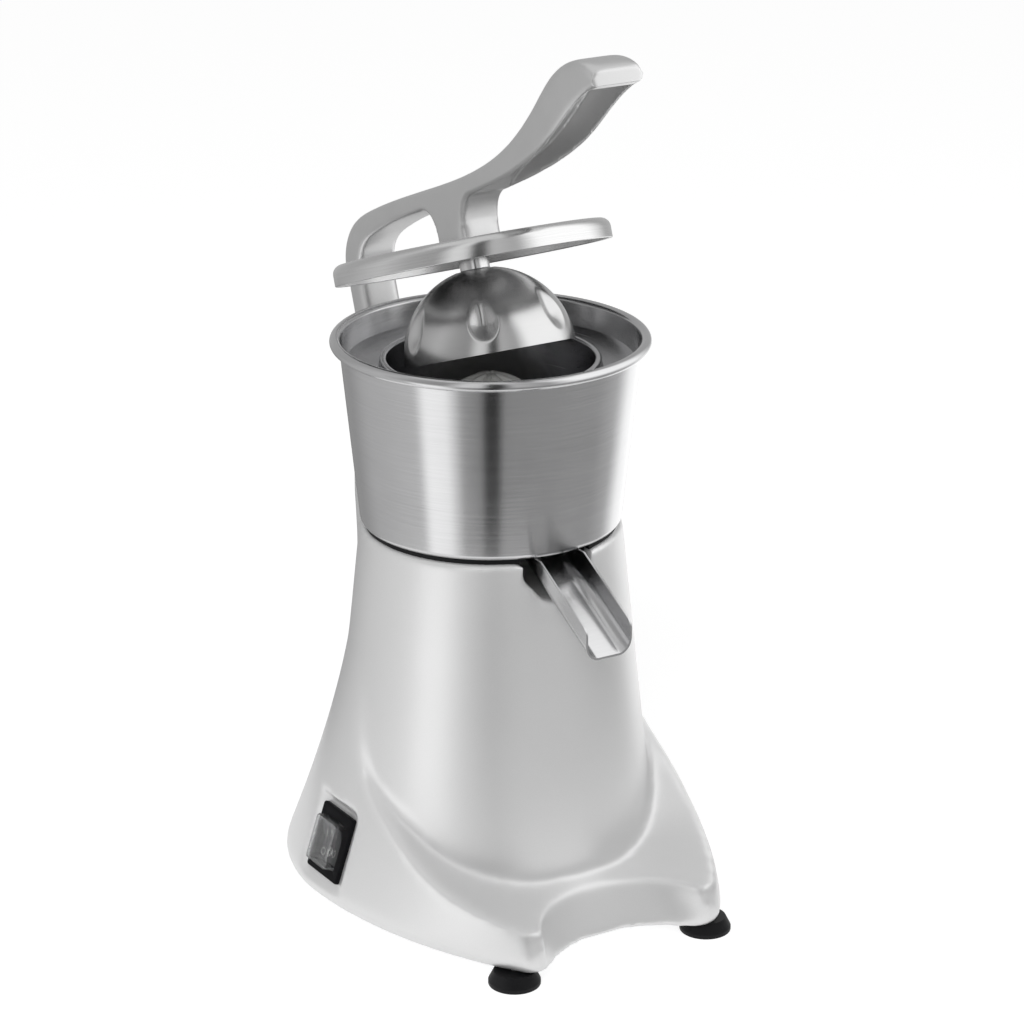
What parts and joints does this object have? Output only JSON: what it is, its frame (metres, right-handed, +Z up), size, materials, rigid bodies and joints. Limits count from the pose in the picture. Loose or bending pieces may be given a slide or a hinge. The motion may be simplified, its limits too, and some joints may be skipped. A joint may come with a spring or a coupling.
{
  "type": "citrus juicer",
  "caption": "Electric lever citrus juicer: flared cast body with front legs, steel bowl, spout and strainer, reamer on a motor shaft, and a hinged press arm with a dome cup.",
  "frame": {"origin": "on the counter under the drive axis, midway between front legs and the raised lever's bend", "axes": "+Z up along the drive shaft, -Y towards the spout, +X to the right seen from the front"},
  "size_m": [0.2188, 0.2776, 0.4792],
  "materials": {
    "silver_paint": "satin silver paint on cast aluminium",
    "zinc_sheet": "zinc plated sheet",
    "black_rubber": "matt black rubber",
    "plain_steel": "turned steel",
    "brushed_stainless": "brushed stainless steel",
    "strainer_stainless": "satin stainless steel",
    "spun_stainless": "spun stainless steel",
    "dome_stainless": "circular brushed stainless steel",
    "polished_steel": "polished steel",
    "cast_aluminium": "satin cast aluminium",
    "die_cast": "bare die casting",
    "laminated_iron": "laminated sheet",
    "copper_wire": "enamelled copper wire",
    "bronze": "sintered bronze",
    "reamer_plastic": "smooth food plastic",
    "black_plastic": "moulded black plastic",
    "white_plastic": "moulded white plastic",
    "rocker_plastic": "glossy black plastic",
    "clear_boot": "clear soft plastic"
  },
  "bodies": {
    "stand": {"housing": "silver_paint", "base_plate": "zinc_sheet", "foot_front_left": "black_rubber", "foot_front_right": "black_rubber", "foot_rear_left": "black_rubber", "foot_rear_right": "black_rubber", "foot_screws": "plain_steel", "bowl_gasket": "black_rubber", "juice_bowl": "brushed_stainless", "spout": "brushed_stainless", "strainer": "strainer_stainless", "shaft_seal": "black_rubber", "stator_core": "laminated_iron", "stator_windings": "copper_wire", "motor_top_bracket": "die_cast", "motor_bottom_bracket": "die_cast", "upper_bearing": "plain_steel", "lower_bearing": "plain_steel", "motor_bolts": "plain_steel", "motor_mount_screws": "plain_steel", "run_capacitor": "die_cast", "capacitor_clamp": "zinc_sheet", "terminal_block": "white_plastic", "cord_gland": "black_plastic", "gland_nut": "black_plastic", "switch_frame": "black_plastic", "switch_boot": "clear_boot", "switch_terminals": "bronze", "hinge_pin": "polished_steel", "pin_circlips": "plain_steel", "friction_washers": "white_plastic"},
    "lever": {"lever_arm": "cast_aluminium", "hinge_bushes": "bronze", "press_hub": "cast_aluminium", "press_disc": "spun_stainless", "press_stem": "polished_steel", "press_cup": "dome_stainless", "cup_washer": "plain_steel", "cup_nut": "plain_steel"},
    "drive": {"drive_shaft": "plain_steel", "rotor": "laminated_iron", "cooling_fan": "black_plastic", "cone_hub": "plain_steel", "hub_pin": "plain_steel", "reamer_cone": "reamer_plastic", "reamer_skirt": "reamer_plastic"},
    "rocker": {"switch_rocker": "rocker_plastic"}
  },
  "joints": [
    {"name": "lever_hinge", "type": "hinge", "parent": "stand", "child": "lever", "pos_m": [0, 0.116, 0.28], "axis": [-1, 0, 0], "range_deg": [-20, 70]},
    {"name": "cone_spin", "type": "hinge", "parent": "stand", "child": "drive", "pos_m": [0, 0, 0.2], "axis": [0, 0, 1], "continuous": true},
    {"name": "rocker_tilt", "type": "hinge", "parent": "stand", "child": "rocker", "pos_m": [-0.09563, 0.003, 0.03869], "axis": [0, 1, 0], "range_deg": [0, 16]}
  ]
}
